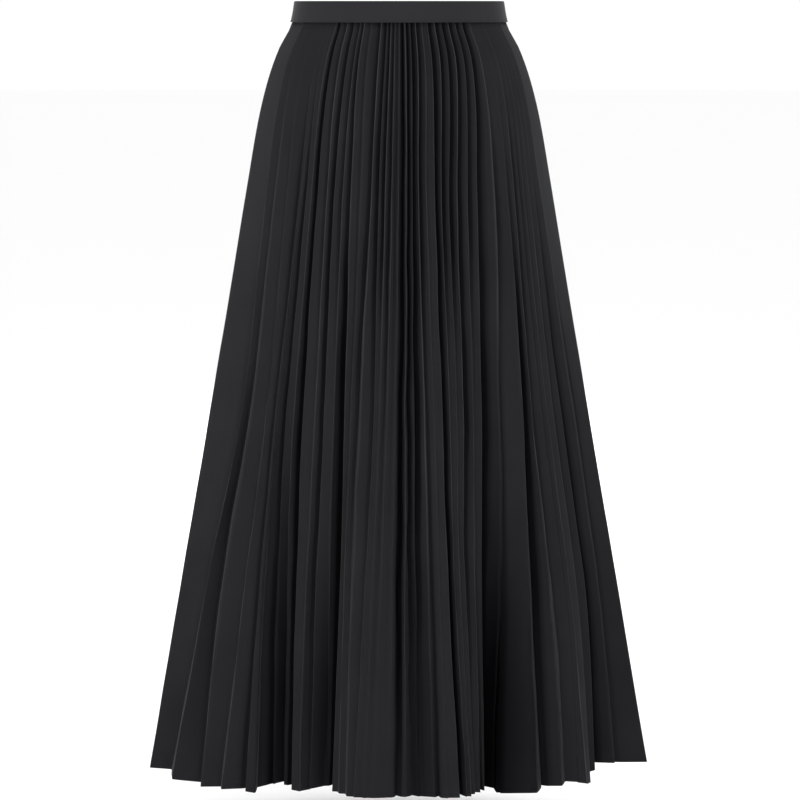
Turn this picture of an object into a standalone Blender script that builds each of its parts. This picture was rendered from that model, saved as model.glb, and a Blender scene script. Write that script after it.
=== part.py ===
"""A long skirt with sunray pleats on a narrow plain waistband, in the form it has when worn.

The front faces -Y, the wearer's left side is +X, and the origin is the middle of the waistband.
The cloth is a thin wall through level sections. A section is an oval whose folds stand where the
fold tables say, with a crest on the oval between every two folds. The skirt closes with a concealed
zip in the centre back seam.
"""

from collections import namedtuple
from math import acos, cos, pi, sin, sqrt, tanh

import bmesh
import bpy
from mathutils import Matrix

MM = 0.001

# Whole skirt
LENGTH = 884 * MM
SEAM = 0.3 * MM
CLOTH = 1.2 * MM
PLEATS = 38

# Waistband, parted at the centre back, its edge given as drops and insets in mm: it rounds off at the top
BAND_HEIGHT = 24 * MM
BAND_THICKNESS = 2.4 * MM
BAND_END = 1.2 * MM
BAND_STEPS = 36
BAND_EDGE = ((24.0, 0.0), (1.2, 0.0), (0.4, 0.35), (0.0, 1.0))

# Side of each fold that its crest stands on: towards the nearer side seam
MIDDLE_FOLD = 19
LEAN = 0.28
LEAN_CHANGE = 2.5

# Drape: from the hips down, the hem's long waves grow
DRAPE_START = 200 * MM
DRAPE_GROWTH = 1.3
SHARPEST = 0.2

# Concealed zip
ZIP_LENGTH = 180 * MM
TAPE_NEAR = 1.6 * MM
TAPE_FAR = 9.6 * MM
TAPE_THICKNESS = 0.6 * MM
TEETH_HALF_WIDTH = 2.0 * MM
TEETH_THICKNESS = 1.5 * MM
SLIDER_SIZE = (7 * MM, 3 * MM, 10 * MM)
SLIDER_TOP = 1.5 * MM
BRIDGE_WIDTH = 1.6 * MM
BRIDGE_BAR = 1.0 * MM
BRIDGE_EYE = 1.8 * MM
PULL_SIZE = (5.2 * MM, 1.0 * MM, 16 * MM)
PULL_BAR = 0.6 * MM
PULL_WINDOW = (2.4 * MM, 2.6 * MM)
PULL_CORNER = 1.6 * MM
PIVOT_DROP = 5.5 * MM
PIVOT_STAND = 1.2 * MM

# Level sections in mm: drop below the top edge, half the width, how far the front and the back
# stand from the side seams, and how deep an ordinary pleat is
Section = namedtuple("Section", "drop half_width front back pleat")
SECTIONS = (
    Section(0, 120.5, 85.5, 87.5, 1.4),
    Section(24, 124.0, 87.0, 88.0, 1.6),
    Section(55, 139.5, 94.0, 98.0, 2.6),
    Section(90, 152.0, 101.0, 109.0, 3.4),
    Section(136, 163.3, 107.0, 121.0, 4.4),
    Section(204, 175.2, 116.0, 131.0, 5.6),
    Section(343, 198.3, 130.0, 141.0, 8.0),
    Section(459, 218.1, 145.0, 153.0, 10.0),
    Section(576, 238.0, 161.0, 166.0, 12.0),
    Section(693, 258.3, 176.0, 181.0, 14.0),
    Section(811, 278.2, 195.0, 198.0, 16.0),
    Section(884, 290.8, 208.0, 208.0, 17.5),
)

# Drops in mm at which the fold tables give each fold's place, and at which the walls have a ring
LEVELS = (65, 227, 459, 636, 884)
RINGS = (24.3, 45, 69, 100, 137, 180, 227, 285, 343, 402, 459, 520, 576, 636, 693, 752, 811, 884)

# Fold lines: the number of the fold from one side seam to the other, its place across the skirt in
# mm at each level, how far its hem stands from the side seams in mm, and its depth at the hip, the
# thigh and the hem as a share of an ordinary pleat's
Fold = namedtuple("Fold", "number yoke hip thigh knee hem reach hip_deep thigh_deep hem_deep")
FRONT_FOLDS = (
    Fold(1, -127, -154, -181, -218, -266, 45, 0.4, 0.5, 0.4),
    Fold(2, -119, -145, -172, -203, -231, 95, 0.4, 0.5, 0.6),
    Fold(3, -108, -130, -152, -175, -206, 130, 0.4, 0.4, 0.8),
    Fold(4, -94, -116, -142, -159, -178, 150, 0.8, 0.6, 1.0),
    Fold(5, -91, -112, -136, -151, -162, 152, 0.1, 0.2, 0.8),
    Fold(6, -88, -108, -130, -142, -149, 122, 0.8, 0.7, 1.1),
    Fold(7, -83, -101, -121, -131, -137, 124, 0.2, 0.2, 1.0),
    Fold(8, -78, -96, -112, -119, -125, 135, 1.3, 1.4, 0.6),
    Fold(9, -69, -84, -97, -106, -114, 145, 0.6, 0.3, 0.3),
    Fold(10, -60, -76, -87, -96, -103, 150, 0.9, 0.8, 1.0),
    Fold(11, -52, -66, -75, -81, -88, 152, 0.7, 0.2, 0.3),
    Fold(12, -47, -57, -64, -68, -78, 150, 0.8, 1.5, 1.2),
    Fold(13, -38, -46, -56, -63, -70, 176, 0.5, 0.4, 0.3),
    Fold(14, -25, -34, -48, -55, -61, 186, 0.8, 0.6, 0.2),
    Fold(15, -17, -25, -30, -39, -52, 200, 0.9, 0.6, 1.1),
    Fold(16, -12, -18, -24, -31, -42, 203, 0.9, 0.2, 0.3),
    Fold(17, -7, -11, -17, -24, -33, 207, 0.8, 0.5, 0.7),
    Fold(18, -2, -4, -8, -12, -16, 207, 0.6, 0.4, 0.3),
    Fold(19, 4, 4, 2, 0, -1, 205, 1.4, 1.4, 0.8),
    Fold(20, 10, 11, 11, 12, 15, 196, 1.0, 0.9, 1.0),
    Fold(21, 16, 17, 19, 21, 25, 197, 1.1, 1.0, 1.2),
    Fold(22, 23, 24, 31, 36, 43, 203, 0.9, 0.6, 0.8),
    Fold(23, 31, 33, 41, 47, 57, 203, 0.4, 0.2, 0.2),
    Fold(24, 39, 43, 51, 57, 71, 200, 1.4, 1.0, 1.4),
    Fold(25, 48, 50, 59, 63, 77, 190, 1.0, 0.3, 0.4),
    Fold(26, 57, 59, 67, 69, 82, 176, 1.1, 0.3, 0.6),
    Fold(27, 66, 68, 75, 76, 87, 164, 1.0, 0.9, 0.8),
    Fold(28, 75, 80, 86, 88, 94, 148, 0.9, 0.3, 0.6),
    Fold(29, 84, 91, 96, 97, 101, 136, 1.1, 1.4, 1.1),
    Fold(30, 94, 112, 115, 121, 116, 166, 0.7, 0.5, 0.5),
    Fold(31, 104, 127, 145, 153, 166, 137, 0.6, 1.1, 0.7),
    Fold(32, 112, 134, 153, 171, 188, 116, 0.8, 0.6, 0.4),
    Fold(33, 117, 140, 163, 184, 202, 120, 0.6, 0.4, 0.3),
    Fold(34, 121, 145, 170, 193, 208, 112, 0.5, 0.4, 0.2),
    Fold(35, 125, 151, 178, 202, 212, 42, 0.4, 0.5, 0.3),
    Fold(36, 129, 157, 187, 213, 230, 8, 0.5, 0.9, 0.8),
    Fold(37, 134, 165, 203, 230, 256, 7, 0.3, 0.6, 0.6),
)
BACK_FOLDS = (
    Fold(1, -128, -156, -187, -219, -264, 60, 0.4, 0.5, 0.5),
    Fold(3, -110, -136, -166, -196, -229, 118, 0.5, 0.6, 0.8),
    Fold(6, -88, -110, -134, -157, -186, 128, 0.9, 0.9, 1.2),
    Fold(9, -68, -85, -107, -127, -147, 168, 0.7, 0.7, 0.8),
    Fold(11, -55, -71, -87, -102, -119, 152, 1.0, 1.1, 1.1),
    Fold(14, -38, -50, -61, -69, -84, 196, 0.7, 0.6, 0.7),
    Fold(16, -30, -38, -44, -49, -57, 186, 0.9, 1.0, 1.2),
    Fold(18, -21, -25, -27, -30, -34, 204, 0.3, 0.5, 0.9),
    Fold(19, 0, 0, 0, 0, 0, 201, 0.0, 0.0, 0.0),
    Fold(20, 21, 25, 28, 31, 33, 203, 0.3, 0.5, 0.8),
    Fold(22, 31, 39, 46, 53, 62, 205, 0.9, 0.7, 0.8),
    Fold(24, 41, 53, 64, 73, 80, 178, 1.0, 1.3, 1.4),
    Fold(27, 62, 80, 97, 112, 133, 186, 0.7, 0.7, 0.7),
    Fold(29, 76, 96, 117, 136, 158, 140, 1.1, 1.1, 1.3),
    Fold(32, 97, 122, 150, 174, 201, 138, 0.8, 0.8, 0.9),
    Fold(35, 118, 147, 180, 205, 232, 92, 0.6, 0.8, 1.0),
    Fold(37, 130, 159, 192, 225, 265, 48, 0.4, 0.5, 0.5),
)

# Colours: linear red, green and blue, roughness and metallic
CREPE = ("black crepe", (0.014, 0.0135, 0.0155), 0.72, 0.0)
TAPE = ("black zip tape", (0.012, 0.012, 0.013), 0.8, 0.0)
NYLON = ("black nylon", (0.018, 0.018, 0.02), 0.4, 0.0)
LACQUER = ("black lacquered metal", (0.02, 0.02, 0.022), 0.3, 0.6)


def eased(stations, values, at):
    """The value at one place on a smooth curve through the stations, with no overshoot."""
    if at <= stations[0]:
        return values[0]
    if at >= stations[-1]:
        return values[-1]
    spans = [b - a for a, b in zip(stations, stations[1:])]
    rises = [(b - a) / s for a, b, s in zip(values, values[1:], spans)]
    slopes = [rises[0]]
    for before, after in zip(rises, rises[1:]):
        slopes.append(2 * before * after / (before + after) if before * after > 0 else 0.0)
    slopes.append(rises[-1])
    i = max(n for n, station in enumerate(stations[:-1]) if station <= at)
    t = (at - stations[i]) / spans[i]
    bend = (2 * t**3 - 3 * t**2 + 1, t**3 - 2 * t**2 + t, 3 * t**2 - 2 * t**3, t**3 - t**2)
    ends = (values[i], spans[i] * slopes[i], values[i + 1], spans[i] * slopes[i + 1])
    return sum(weight * end for weight, end in zip(bend, ends))


def section_size(name, drop):
    """A size of the level section at a drop, in metres."""
    drops = [section.drop * MM for section in SECTIONS]
    return eased(drops, [getattr(section, name) * MM for section in SECTIONS], drop)


def fold_angle(across, drop):
    """How far round the oval a place across the skirt lies: 0 and pi are the side seams."""
    return acos(max(-1.0, min(1.0, -across / section_size("half_width", drop))))


def drape(drop):
    """The share of the hem's long waves that the cloth has at a drop."""
    return max(0.0, (drop - DRAPE_START) / (LENGTH - DRAPE_START)) ** DRAPE_GROWTH


def between(stations, values, at):
    """Straight interpolation in a short table."""
    for a, b, low, high in zip(stations, stations[1:], values, values[1:]):
        if at <= b:
            return low + (high - low) * (at - a) / (b - a)
    return values[-1]


class Side:
    """The front or the back of the skirt at one drop, seen from outside, left seam to right seam."""

    def __init__(self, depth_name, folds, drop):
        self.half_width = section_size("half_width", drop)
        self.depth = section_size(depth_name, drop)
        self.pleat = section_size("pleat", drop)
        self.drape = drape(drop)
        self.hem_depth = section_size(depth_name, LENGTH)
        levels = [level * MM for level in LEVELS]
        deep_levels = (levels[1], levels[2], levels[4])
        self.numbers = [0] + [fold.number for fold in folds] + [PLEATS]
        self.angles, self.hem_angles, self.deeps = [0.0], [0.0], [0.0]
        for fold in folds:
            places = (fold.yoke, fold.hip, fold.thigh, fold.knee, fold.hem)
            angles = [fold_angle(place * MM, level) for place, level in zip(places, levels)]
            deeps = (fold.hip_deep, fold.thigh_deep, fold.hem_deep)
            self.angles.append(eased(levels, angles, drop))
            self.hem_angles.append(angles[-1])
            self.deeps.append(eased(deep_levels, deeps, drop))
        self.angles.append(pi)
        self.hem_angles.append(pi)
        self.deeps.append(0.0)
        self.reaches = [0.0] + [fold.reach * MM for fold in folds] + [0.0]

    def on_oval(self, angle, hem_angle, reach):
        """A point of the draped oval, seen from above with the panel's outside towards -Y."""
        wave = reach - self.hem_depth * sin(hem_angle)
        return (-self.half_width * cos(angle), -(self.depth * sin(angle) + self.drape * wave))

    def fold_point(self, number):
        """The bottom of a fold."""
        angle = between(self.numbers, self.angles, number)
        x, y = self.on_oval(
            angle,
            between(self.numbers, self.hem_angles, number),
            between(self.numbers, self.reaches, number),
        )
        deep = self.pleat * between(self.numbers, self.deeps, number)
        out = (-cos(angle) / self.half_width, -sin(angle) / self.depth)
        size = sqrt(out[0] ** 2 + out[1] ** 2)
        return (x - deep * out[0] / size, y - deep * out[1] / size)

    def crest_point(self, number):
        """The folded edge between a fold and the next one."""
        share = 0.5 + LEAN * tanh((number + 0.5 - MIDDLE_FOLD) / LEAN_CHANGE)
        angle = between(self.numbers, self.angles, number + share)
        reach = between(self.numbers, self.reaches, number + 1 - share)
        return self.on_oval(angle, between(self.numbers, self.hem_angles, number + share), reach)

    def outline(self, first, last):
        """Folds and crests in turn from one fold to another."""
        points = []
        for number in range(first, last):
            points += [self.fold_point(number), self.crest_point(number)]
        return points + [self.fold_point(last)]


def inner_side(points, thickness):
    """The points of a wall's inner side, at even thickness behind its outer side."""
    inner = []
    for i, (x, y) in enumerate(points):
        normals = []
        for (ax, ay), (bx, by) in zip(points[max(i - 1, 0) : i + 1], points[max(i, 1) : i + 2]):
            size = sqrt((bx - ax) ** 2 + (by - ay) ** 2)
            normals.append(((ay - by) / size, (bx - ax) / size))
        (ax, ay), (bx, by) = normals[0], normals[-1]
        reach = thickness / max(1 + ax * bx + ay * by, SHARPEST)
        inner.append((x + reach * (ax + bx), y + reach * (ay + by)))
    return inner


def height(drop):
    """The height of a drop below the top edge, with the origin at the middle of the waistband."""
    return BAND_HEIGHT / 2 - drop


def finish_of(finish):
    """The material of a finish, made once."""
    name, colour, roughness, metallic = finish
    material = bpy.data.materials.get(name)
    if material is None:
        material = bpy.data.materials.new(name)
        material.use_nodes = True
        shader = material.node_tree.nodes["Principled BSDF"]
        shader.inputs["Base Color"].default_value = (*colour, 1.0)
        shader.inputs["Roughness"].default_value = roughness
        shader.inputs["Metallic"].default_value = metallic
        material.diffuse_color = (*colour, 1.0)
    return material


def add_object(name, mesh_source, finish):
    """An object of a finished bmesh."""
    mesh = bpy.data.meshes.new(name)
    mesh_source.to_mesh(mesh)
    mesh_source.free()
    mesh.materials.append(finish_of(finish))
    made = bpy.data.objects.new(name, mesh)
    bpy.context.scene.collection.objects.link(made)
    return made


def add_wall(name, outer, inner, finish):
    """A closed wall between two equal grids of points, rows from top to bottom, edges included."""
    shape = bmesh.new()
    out = [[shape.verts.new(point) for point in row] for row in outer]
    back = [[shape.verts.new(point) for point in row] for row in inner]

    def quad(a, b, c, d):
        shape.faces.new((a, b, c))
        shape.faces.new((a, c, d))

    rows, columns = len(out), len(out[0])
    for i in range(rows - 1):
        for j in range(columns - 1):
            quad(out[i][j], out[i + 1][j], out[i + 1][j + 1], out[i][j + 1])
            quad(back[i][j], back[i][j + 1], back[i + 1][j + 1], back[i + 1][j])
        quad(out[i][0], back[i][0], back[i + 1][0], out[i + 1][0])
        quad(out[i][-1], out[i + 1][-1], back[i + 1][-1], back[i][-1])
    for j in range(columns - 1):
        quad(out[0][j], out[0][j + 1], back[0][j + 1], back[0][j])
        quad(out[-1][j], back[-1][j], back[-1][j + 1], out[-1][j + 1])
    bmesh.ops.recalc_face_normals(shape, faces=shape.faces)
    return add_object(name, shape, finish)


def raised(points, drop):
    """Plan points at the height of a drop."""
    return [(x, y, height(drop)) for x, y in points]


def turned(points):
    """Plan points turned half round, which carries the front's side to the back."""
    return [(-x, -y) for x, y in points]


def panel_ring(depth_name, folds, first, last, drop):
    """The outer and inner plan points of a panel at one drop, its two ends squared on their seams."""
    outer = Side(depth_name, folds, drop).outline(first, last)
    inner = inner_side(outer, CLOTH)
    for end, number, inwards in ((0, first, 1), (-1, last, -1)):
        x, y = outer[end]
        if number in (0, PLEATS):
            outer[end] = (x, -SEAM / 2)
            inner[end] = (x + inwards * CLOTH, -SEAM / 2)
        else:
            outer[end] = (inwards * SEAM / 2, y)
            inner[end] = (inwards * SEAM / 2, y + CLOTH)
    return outer, inner


def add_panel(name, depth_name, folds, first, last, to_back):
    """A pleated panel from one fold to another."""
    rows_out, rows_in = [], []
    for drop in [ring * MM for ring in RINGS]:
        outer, inner = panel_ring(depth_name, folds, first, last, drop)
        if to_back:
            outer, inner = turned(outer), turned(inner)
        rows_out.append(raised(outer, drop))
        rows_in.append(raised(inner, drop))
    return add_wall(name, rows_out, rows_in, CREPE)


def band_plan(drop, inset):
    """The waistband's plan line, from the centre back round the front to the centre back."""
    half_width = section_size("half_width", drop) - inset
    front = section_size("front", drop) - inset
    back = section_size("back", drop) - inset
    gap = BAND_END / back
    points = []
    for step in range(2 * BAND_STEPS + 1):
        angle = gap + (2 * pi - 2 * gap) * step / (2 * BAND_STEPS)
        depth = back if cos(angle) > 0 else front
        points.append((-half_width * sin(angle), depth * cos(angle)))
    points[0] = (-BAND_END, points[0][1])
    points[-1] = (BAND_END, points[-1][1])
    return raised(points, drop)


def add_waistband():
    """The band: a wall with a rounded top edge, its two ends parted for the zip's slider."""
    edge = [(drop * MM, inset * MM) for drop, inset in reversed(BAND_EDGE)]
    outer = [band_plan(drop, inset) for drop, inset in edge]
    inner = [band_plan(drop, BAND_THICKNESS - inset) for drop, inset in edge]
    return add_wall("waistband", outer, inner, CREPE)


def seam_cover(drop, across):
    """How far back from the origin the cloth's inner face lies, a little to the side of the zip."""
    faces = []
    if drop <= RINGS[0] * MM:
        share = across / section_size("half_width", drop)
        faces.append(section_size("back", drop) * sqrt(1 - share**2) - BAND_THICKNESS)
    if drop >= RINGS[0] * MM:
        if across > 0:
            inner = panel_ring("back", BACK_FOLDS, 0, MIDDLE_FOLD, drop)[1]
            seam, crest = turned(inner[-1:-3:-1])
        else:
            inner = panel_ring("back", BACK_FOLDS, MIDDLE_FOLD, PLEATS, drop)[1]
            seam, crest = turned(inner[:2])
        faces.append(seam[1] + (crest[1] - seam[1]) * across / crest[0])
    return min(faces)


def zip_strip(name, left, right, top, depth, thickness, finish):
    """A strip of the zip that follows the inner side of the cloth beside the centre back seam."""
    drops = [top] + [ring * MM for ring in RINGS if top < ring * MM < ZIP_LENGTH] + [ZIP_LENGTH]
    outer, inner = [], []
    for drop in drops:
        faces = [(across, seam_cover(drop, across) - SEAM - depth) for across in (left, right)]
        outer.append(raised(faces, drop))
        inner.append(raised([(x, y - thickness) for x, y in faces], drop))
    return add_wall(name, outer, inner, finish)


def block(size, centre):
    """A bmesh box."""
    shape = bmesh.new()
    bmesh.ops.create_cube(shape, size=1.0)
    bmesh.ops.transform(shape, matrix=Matrix.Diagonal((*size, 1.0)), verts=shape.verts)
    bmesh.ops.translate(shape, vec=centre, verts=shape.verts)
    return shape


def combine(body, tool, operation):
    """Joins a hidden guide to a body, or cuts it away."""
    tool.hide_render = True
    tool.display_type = "WIRE"
    step = body.modifiers.new(tool.name, "BOOLEAN")
    step.operation = operation
    step.object = tool


def pivot_place():
    """Where the pull tab turns: the middle of the bridge's eye."""
    return (0.0, section_size("back", PIVOT_DROP) + PIVOT_STAND, height(PIVOT_DROP))


def add_slider():
    """The slider: its body behind the tapes, and the bridge that the pull tab hangs on."""
    wide, deep, tall = SLIDER_SIZE
    face = seam_cover(SLIDER_TOP, wide / 2) - TAPE_THICKNESS - 2 * SEAM
    body = block(SLIDER_SIZE, (0.0, face - deep / 2, height(SLIDER_TOP + tall / 2)))
    slider = add_object("zip_slider", body, LACQUER)
    _, pivot_y, pivot_z = pivot_place()
    bridge_height = BRIDGE_EYE + 2 * BRIDGE_BAR
    bridge_end = pivot_y + BRIDGE_EYE / 2 + BRIDGE_BAR
    bridge_start = face - deep / 2
    bridge = block(
        (BRIDGE_WIDTH, bridge_end - bridge_start, bridge_height),
        (0.0, (bridge_end + bridge_start) / 2, pivot_z),
    )
    combine(slider, add_object("bridge guide", bridge, LACQUER), "UNION")
    eye = block((wide, BRIDGE_EYE, BRIDGE_EYE), (0.0, pivot_y, pivot_z))
    combine(slider, add_object("eye guide", eye, LACQUER), "DIFFERENCE")
    return slider


def add_pull():
    """The pull tab: a flat drop with a window, whose top bar turns in the bridge's eye."""
    wide, thick, tall = PULL_SIZE
    shape = block(PULL_SIZE, (0.0, 0.0, PULL_BAR - tall / 2))
    corners = [edge for edge in shape.edges if abs(edge.verts[0].co.y - edge.verts[1].co.y) > thick / 2]
    low = [edge for edge in corners if edge.verts[0].co.z < -tall / 2]
    bmesh.ops.bevel(
        shape, geom=low, offset=PULL_CORNER, segments=4, profile=0.5, affect="EDGES", material=-1
    )
    pull = add_object("zip_pull", shape, LACQUER)
    window_wide, window_tall = PULL_WINDOW
    window = block((window_wide, 4 * thick, window_tall), (0.0, 0.0, -PULL_BAR - window_tall / 2))
    guide = add_object("window guide", window, LACQUER)
    combine(pull, guide, "DIFFERENCE")
    for item in (pull, guide):
        item.location = pivot_place()
    return pull


def build():
    """Makes every piece of the skirt in an empty scene."""
    for old in list(bpy.data.objects):
        bpy.data.objects.remove(old)
    add_waistband()
    add_panel("skirt_front", "front", FRONT_FOLDS, 0, PLEATS, False)
    add_panel("skirt_back_left", "back", BACK_FOLDS, 0, MIDDLE_FOLD, True)
    add_panel("skirt_back_right", "back", BACK_FOLDS, MIDDLE_FOLD, PLEATS, True)
    tape_top = 0.8 * MM
    zip_strip("zip_tape_left", TAPE_FAR, TAPE_NEAR, tape_top, 0.0, TAPE_THICKNESS, TAPE)
    zip_strip("zip_tape_right", -TAPE_NEAR, -TAPE_FAR, tape_top, 0.0, TAPE_THICKNESS, TAPE)
    teeth_depth = TAPE_THICKNESS + SEAM
    teeth_top = SLIDER_TOP + SLIDER_SIZE[2] + SEAM
    zip_strip(
        "zip_teeth", TEETH_HALF_WIDTH, -TEETH_HALF_WIDTH, teeth_top, teeth_depth, TEETH_THICKNESS, NYLON
    )
    add_slider()
    add_pull()


build()
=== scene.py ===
"""A long black skirt with sunray pleats on a narrow plain waistband: its looks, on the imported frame."""

import logging
from dataclasses import dataclass
from enum import Enum
from math import acos, atan2, cos, hypot, pi, radians, sin, sqrt, tanh
from typing import Callable, NamedTuple, Sequence

import bmesh
import bpy
from mathutils import Matrix, Vector


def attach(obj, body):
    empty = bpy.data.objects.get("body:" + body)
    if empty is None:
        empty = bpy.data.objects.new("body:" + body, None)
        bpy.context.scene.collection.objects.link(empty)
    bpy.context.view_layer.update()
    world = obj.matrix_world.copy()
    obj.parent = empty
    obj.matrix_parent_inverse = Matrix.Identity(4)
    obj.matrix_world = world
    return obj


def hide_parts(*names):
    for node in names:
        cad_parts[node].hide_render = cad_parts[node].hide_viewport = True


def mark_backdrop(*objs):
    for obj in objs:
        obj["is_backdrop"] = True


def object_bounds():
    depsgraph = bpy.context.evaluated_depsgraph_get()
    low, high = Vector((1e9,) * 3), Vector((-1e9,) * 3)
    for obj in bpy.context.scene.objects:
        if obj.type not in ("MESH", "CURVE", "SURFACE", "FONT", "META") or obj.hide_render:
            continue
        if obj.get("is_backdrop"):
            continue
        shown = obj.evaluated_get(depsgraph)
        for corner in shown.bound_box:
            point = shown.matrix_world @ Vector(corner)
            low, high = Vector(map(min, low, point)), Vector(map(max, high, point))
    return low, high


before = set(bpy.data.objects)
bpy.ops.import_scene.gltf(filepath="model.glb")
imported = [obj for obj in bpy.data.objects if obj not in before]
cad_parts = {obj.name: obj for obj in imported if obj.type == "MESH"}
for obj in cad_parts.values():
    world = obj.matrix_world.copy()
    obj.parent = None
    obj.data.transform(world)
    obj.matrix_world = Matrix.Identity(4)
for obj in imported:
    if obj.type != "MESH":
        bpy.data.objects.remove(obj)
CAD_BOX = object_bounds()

MM = 0.001
LOG = logging.getLogger("skirt")
Point = tuple[float, float]
BMesh = bmesh.types.BMesh


class Side(Enum):
    """The half of the skirt that a panel belongs to, named as the section table names its depth."""

    FRONT = "front"
    BACK = "back"


class Section(NamedTuple):
    """A level section in millimetres: drop below the top edge, half the width, depths and pleat."""

    drop: float
    half_width: float
    front: float
    back: float
    pleat: float


class Fold(NamedTuple):
    """A fold line: its number, its place across in millimetres at five drops, reach and depths."""

    number: int
    yoke: float
    hip: float
    thigh: float
    knee: float
    hem: float
    reach: float
    hip_deep: float
    thigh_deep: float
    hem_deep: float


class Sag(NamedTuple):
    """How far the front hem hangs below level at a pleat, in millimetres."""

    number: float
    fall: float


class Wave(NamedTuple):
    """One wave of a folded edge's stray: its share, mean pace a metre, spread of pace and two seeds."""

    share: float
    pace: float
    spread: float
    seed: float
    start: float


class Crease(NamedTuple):
    """A soft ridge or trough on the cloth: pleat number, drop, half length, half width, height."""

    number: float
    drop: float
    half_length: float
    half_width: float
    height: float


SECTIONS = tuple(
    Section(*row)
    for row in (
        (0, 120.5, 85.5, 87.5, 1.4),
        (24, 124.0, 87.0, 88.0, 1.6),
        (55, 139.5, 94.0, 98.0, 2.6),
        (90, 152.0, 101.0, 109.0, 3.4),
        (136, 163.3, 107.0, 121.0, 4.4),
        (204, 175.2, 116.0, 131.0, 5.6),
        (343, 198.3, 130.0, 141.0, 8.0),
        (459, 218.1, 145.0, 153.0, 10.0),
        (576, 238.0, 161.0, 166.0, 12.0),
        (693, 258.3, 176.0, 181.0, 14.0),
        (811, 278.2, 195.0, 198.0, 16.0),
        (884, 290.8, 208.0, 208.0, 17.5),
    )
)

FRONT_FOLDS = tuple(
    Fold(*row)
    for row in (
        (1, -127, -154, -181, -218, -266, 45, 0.4, 0.5, 0.3),
        (2, -119, -145, -172, -203, -231, 95, 0.4, 0.5, 0.5),
        (3, -108, -130, -152, -175, -206, 130, 0.4, 0.4, 0.4),
        (4, -94, -116, -142, -159, -178, 150, 0.8, 0.6, 0.7),
        (5, -91, -112, -136, -151, -162, 152, 0.1, 0.2, 0.2),
        (6, -88, -108, -130, -142, -149, 122, 0.8, 0.7, 1.0),
        (7, -83, -101, -121, -131, -137, 124, 0.2, 0.2, 0.3),
        (8, -78, -96, -112, -119, -125, 135, 1.3, 1.4, 1.0),
        (9, -69, -84, -97, -106, -114, 145, 0.6, 0.3, 0.2),
        (10, -60, -76, -87, -96, -103, 150, 0.9, 0.8, 0.5),
        (11, -52, -66, -75, -81, -88, 152, 0.7, 0.2, 0.5),
        (12, -47, -57, -64, -68, -78, 150, 0.8, 1.5, 1.2),
        (13, -38, -46, -56, -63, -70, 176, 0.5, 0.4, 0.2),
        (14, -25, -34, -48, -55, -61, 186, 0.8, 0.6, 0.15),
        (15, -17, -25, -30, -39, -52, 200, 0.9, 0.6, 0.3),
        (16, -12, -18, -24, -31, -42, 203, 0.9, 0.2, 0.2),
        (17, -7, -11, -17, -24, -33, 207, 0.8, 0.5, 0.25),
        (18, -2, -4, -8, -12, -16, 207, 0.6, 0.4, 0.2),
        (19, 4, 4, 2, 0, -1, 205, 1.4, 1.4, 0.7),
        (20, 10, 11, 11, 12, 15, 196, 1.0, 0.9, 0.5),
        (21, 16, 17, 19, 21, 25, 197, 1.1, 1.0, 0.5),
        (22, 23, 24, 31, 36, 43, 203, 0.9, 0.6, 0.7),
        (23, 31, 33, 41, 47, 57, 203, 0.4, 0.2, 0.2),
        (24, 39, 43, 51, 57, 71, 200, 1.4, 1.0, 1.3),
        (25, 48, 50, 59, 63, 77, 190, 1.0, 0.3, 0.3),
        (26, 57, 59, 67, 69, 82, 176, 1.1, 0.3, 0.25),
        (27, 66, 68, 75, 76, 87, 164, 1.0, 0.9, 0.3),
        (28, 75, 80, 86, 88, 94, 148, 0.9, 0.3, 0.6),
        (29, 84, 91, 96, 97, 101, 136, 1.1, 1.4, 1.3),
        (30, 94, 112, 115, 121, 116, 166, 0.7, 0.5, 0.6),
        (31, 104, 127, 145, 153, 166, 137, 0.6, 1.1, 0.8),
        (32, 112, 134, 153, 171, 188, 116, 0.8, 0.6, 0.3),
        (33, 117, 140, 163, 184, 202, 120, 0.6, 0.4, 0.3),
        (34, 121, 145, 170, 193, 217, 112, 0.5, 0.4, 0.2),
        (35, 125, 151, 178, 202, 221, 42, 0.4, 0.5, 0.3),
        (36, 129, 157, 187, 213, 230, 8, 0.5, 0.9, 1.0),
        (37, 134, 165, 203, 230, 256, 7, 0.3, 0.6, 0.5),
    )
)

BACK_FOLDS = tuple(
    Fold(*row)
    for row in (
        (1, -128, -156, -187, -219, -264, 60, 0.4, 0.5, 0.5),
        (3, -110, -136, -166, -196, -229, 118, 0.5, 0.6, 0.8),
        (6, -88, -110, -134, -157, -186, 128, 0.9, 0.9, 1.2),
        (9, -68, -85, -107, -127, -147, 168, 0.7, 0.7, 0.8),
        (11, -55, -71, -87, -102, -119, 152, 1.0, 1.1, 1.1),
        (14, -38, -50, -61, -69, -84, 196, 0.7, 0.6, 0.7),
        (16, -30, -38, -44, -49, -57, 186, 0.9, 1.0, 1.2),
        (18, -21, -25, -27, -30, -34, 204, 0.3, 0.5, 0.9),
        (19, 0, 0, 0, 0, 0, 201, 0.0, 0.0, 0.0),
        (20, 21, 25, 28, 31, 33, 203, 0.3, 0.5, 0.8),
        (22, 31, 39, 46, 53, 62, 205, 0.9, 0.7, 0.8),
        (24, 41, 53, 64, 73, 80, 178, 1.0, 1.3, 1.4),
        (27, 62, 80, 97, 112, 133, 186, 0.7, 0.7, 0.7),
        (29, 76, 96, 117, 136, 158, 140, 1.1, 1.1, 1.3),
        (32, 97, 122, 150, 174, 201, 138, 0.8, 0.8, 0.9),
        (35, 118, 147, 180, 205, 232, 92, 0.6, 0.8, 1.0),
        (37, 130, 159, 192, 225, 265, 48, 0.4, 0.5, 0.5),
    )
)

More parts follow.
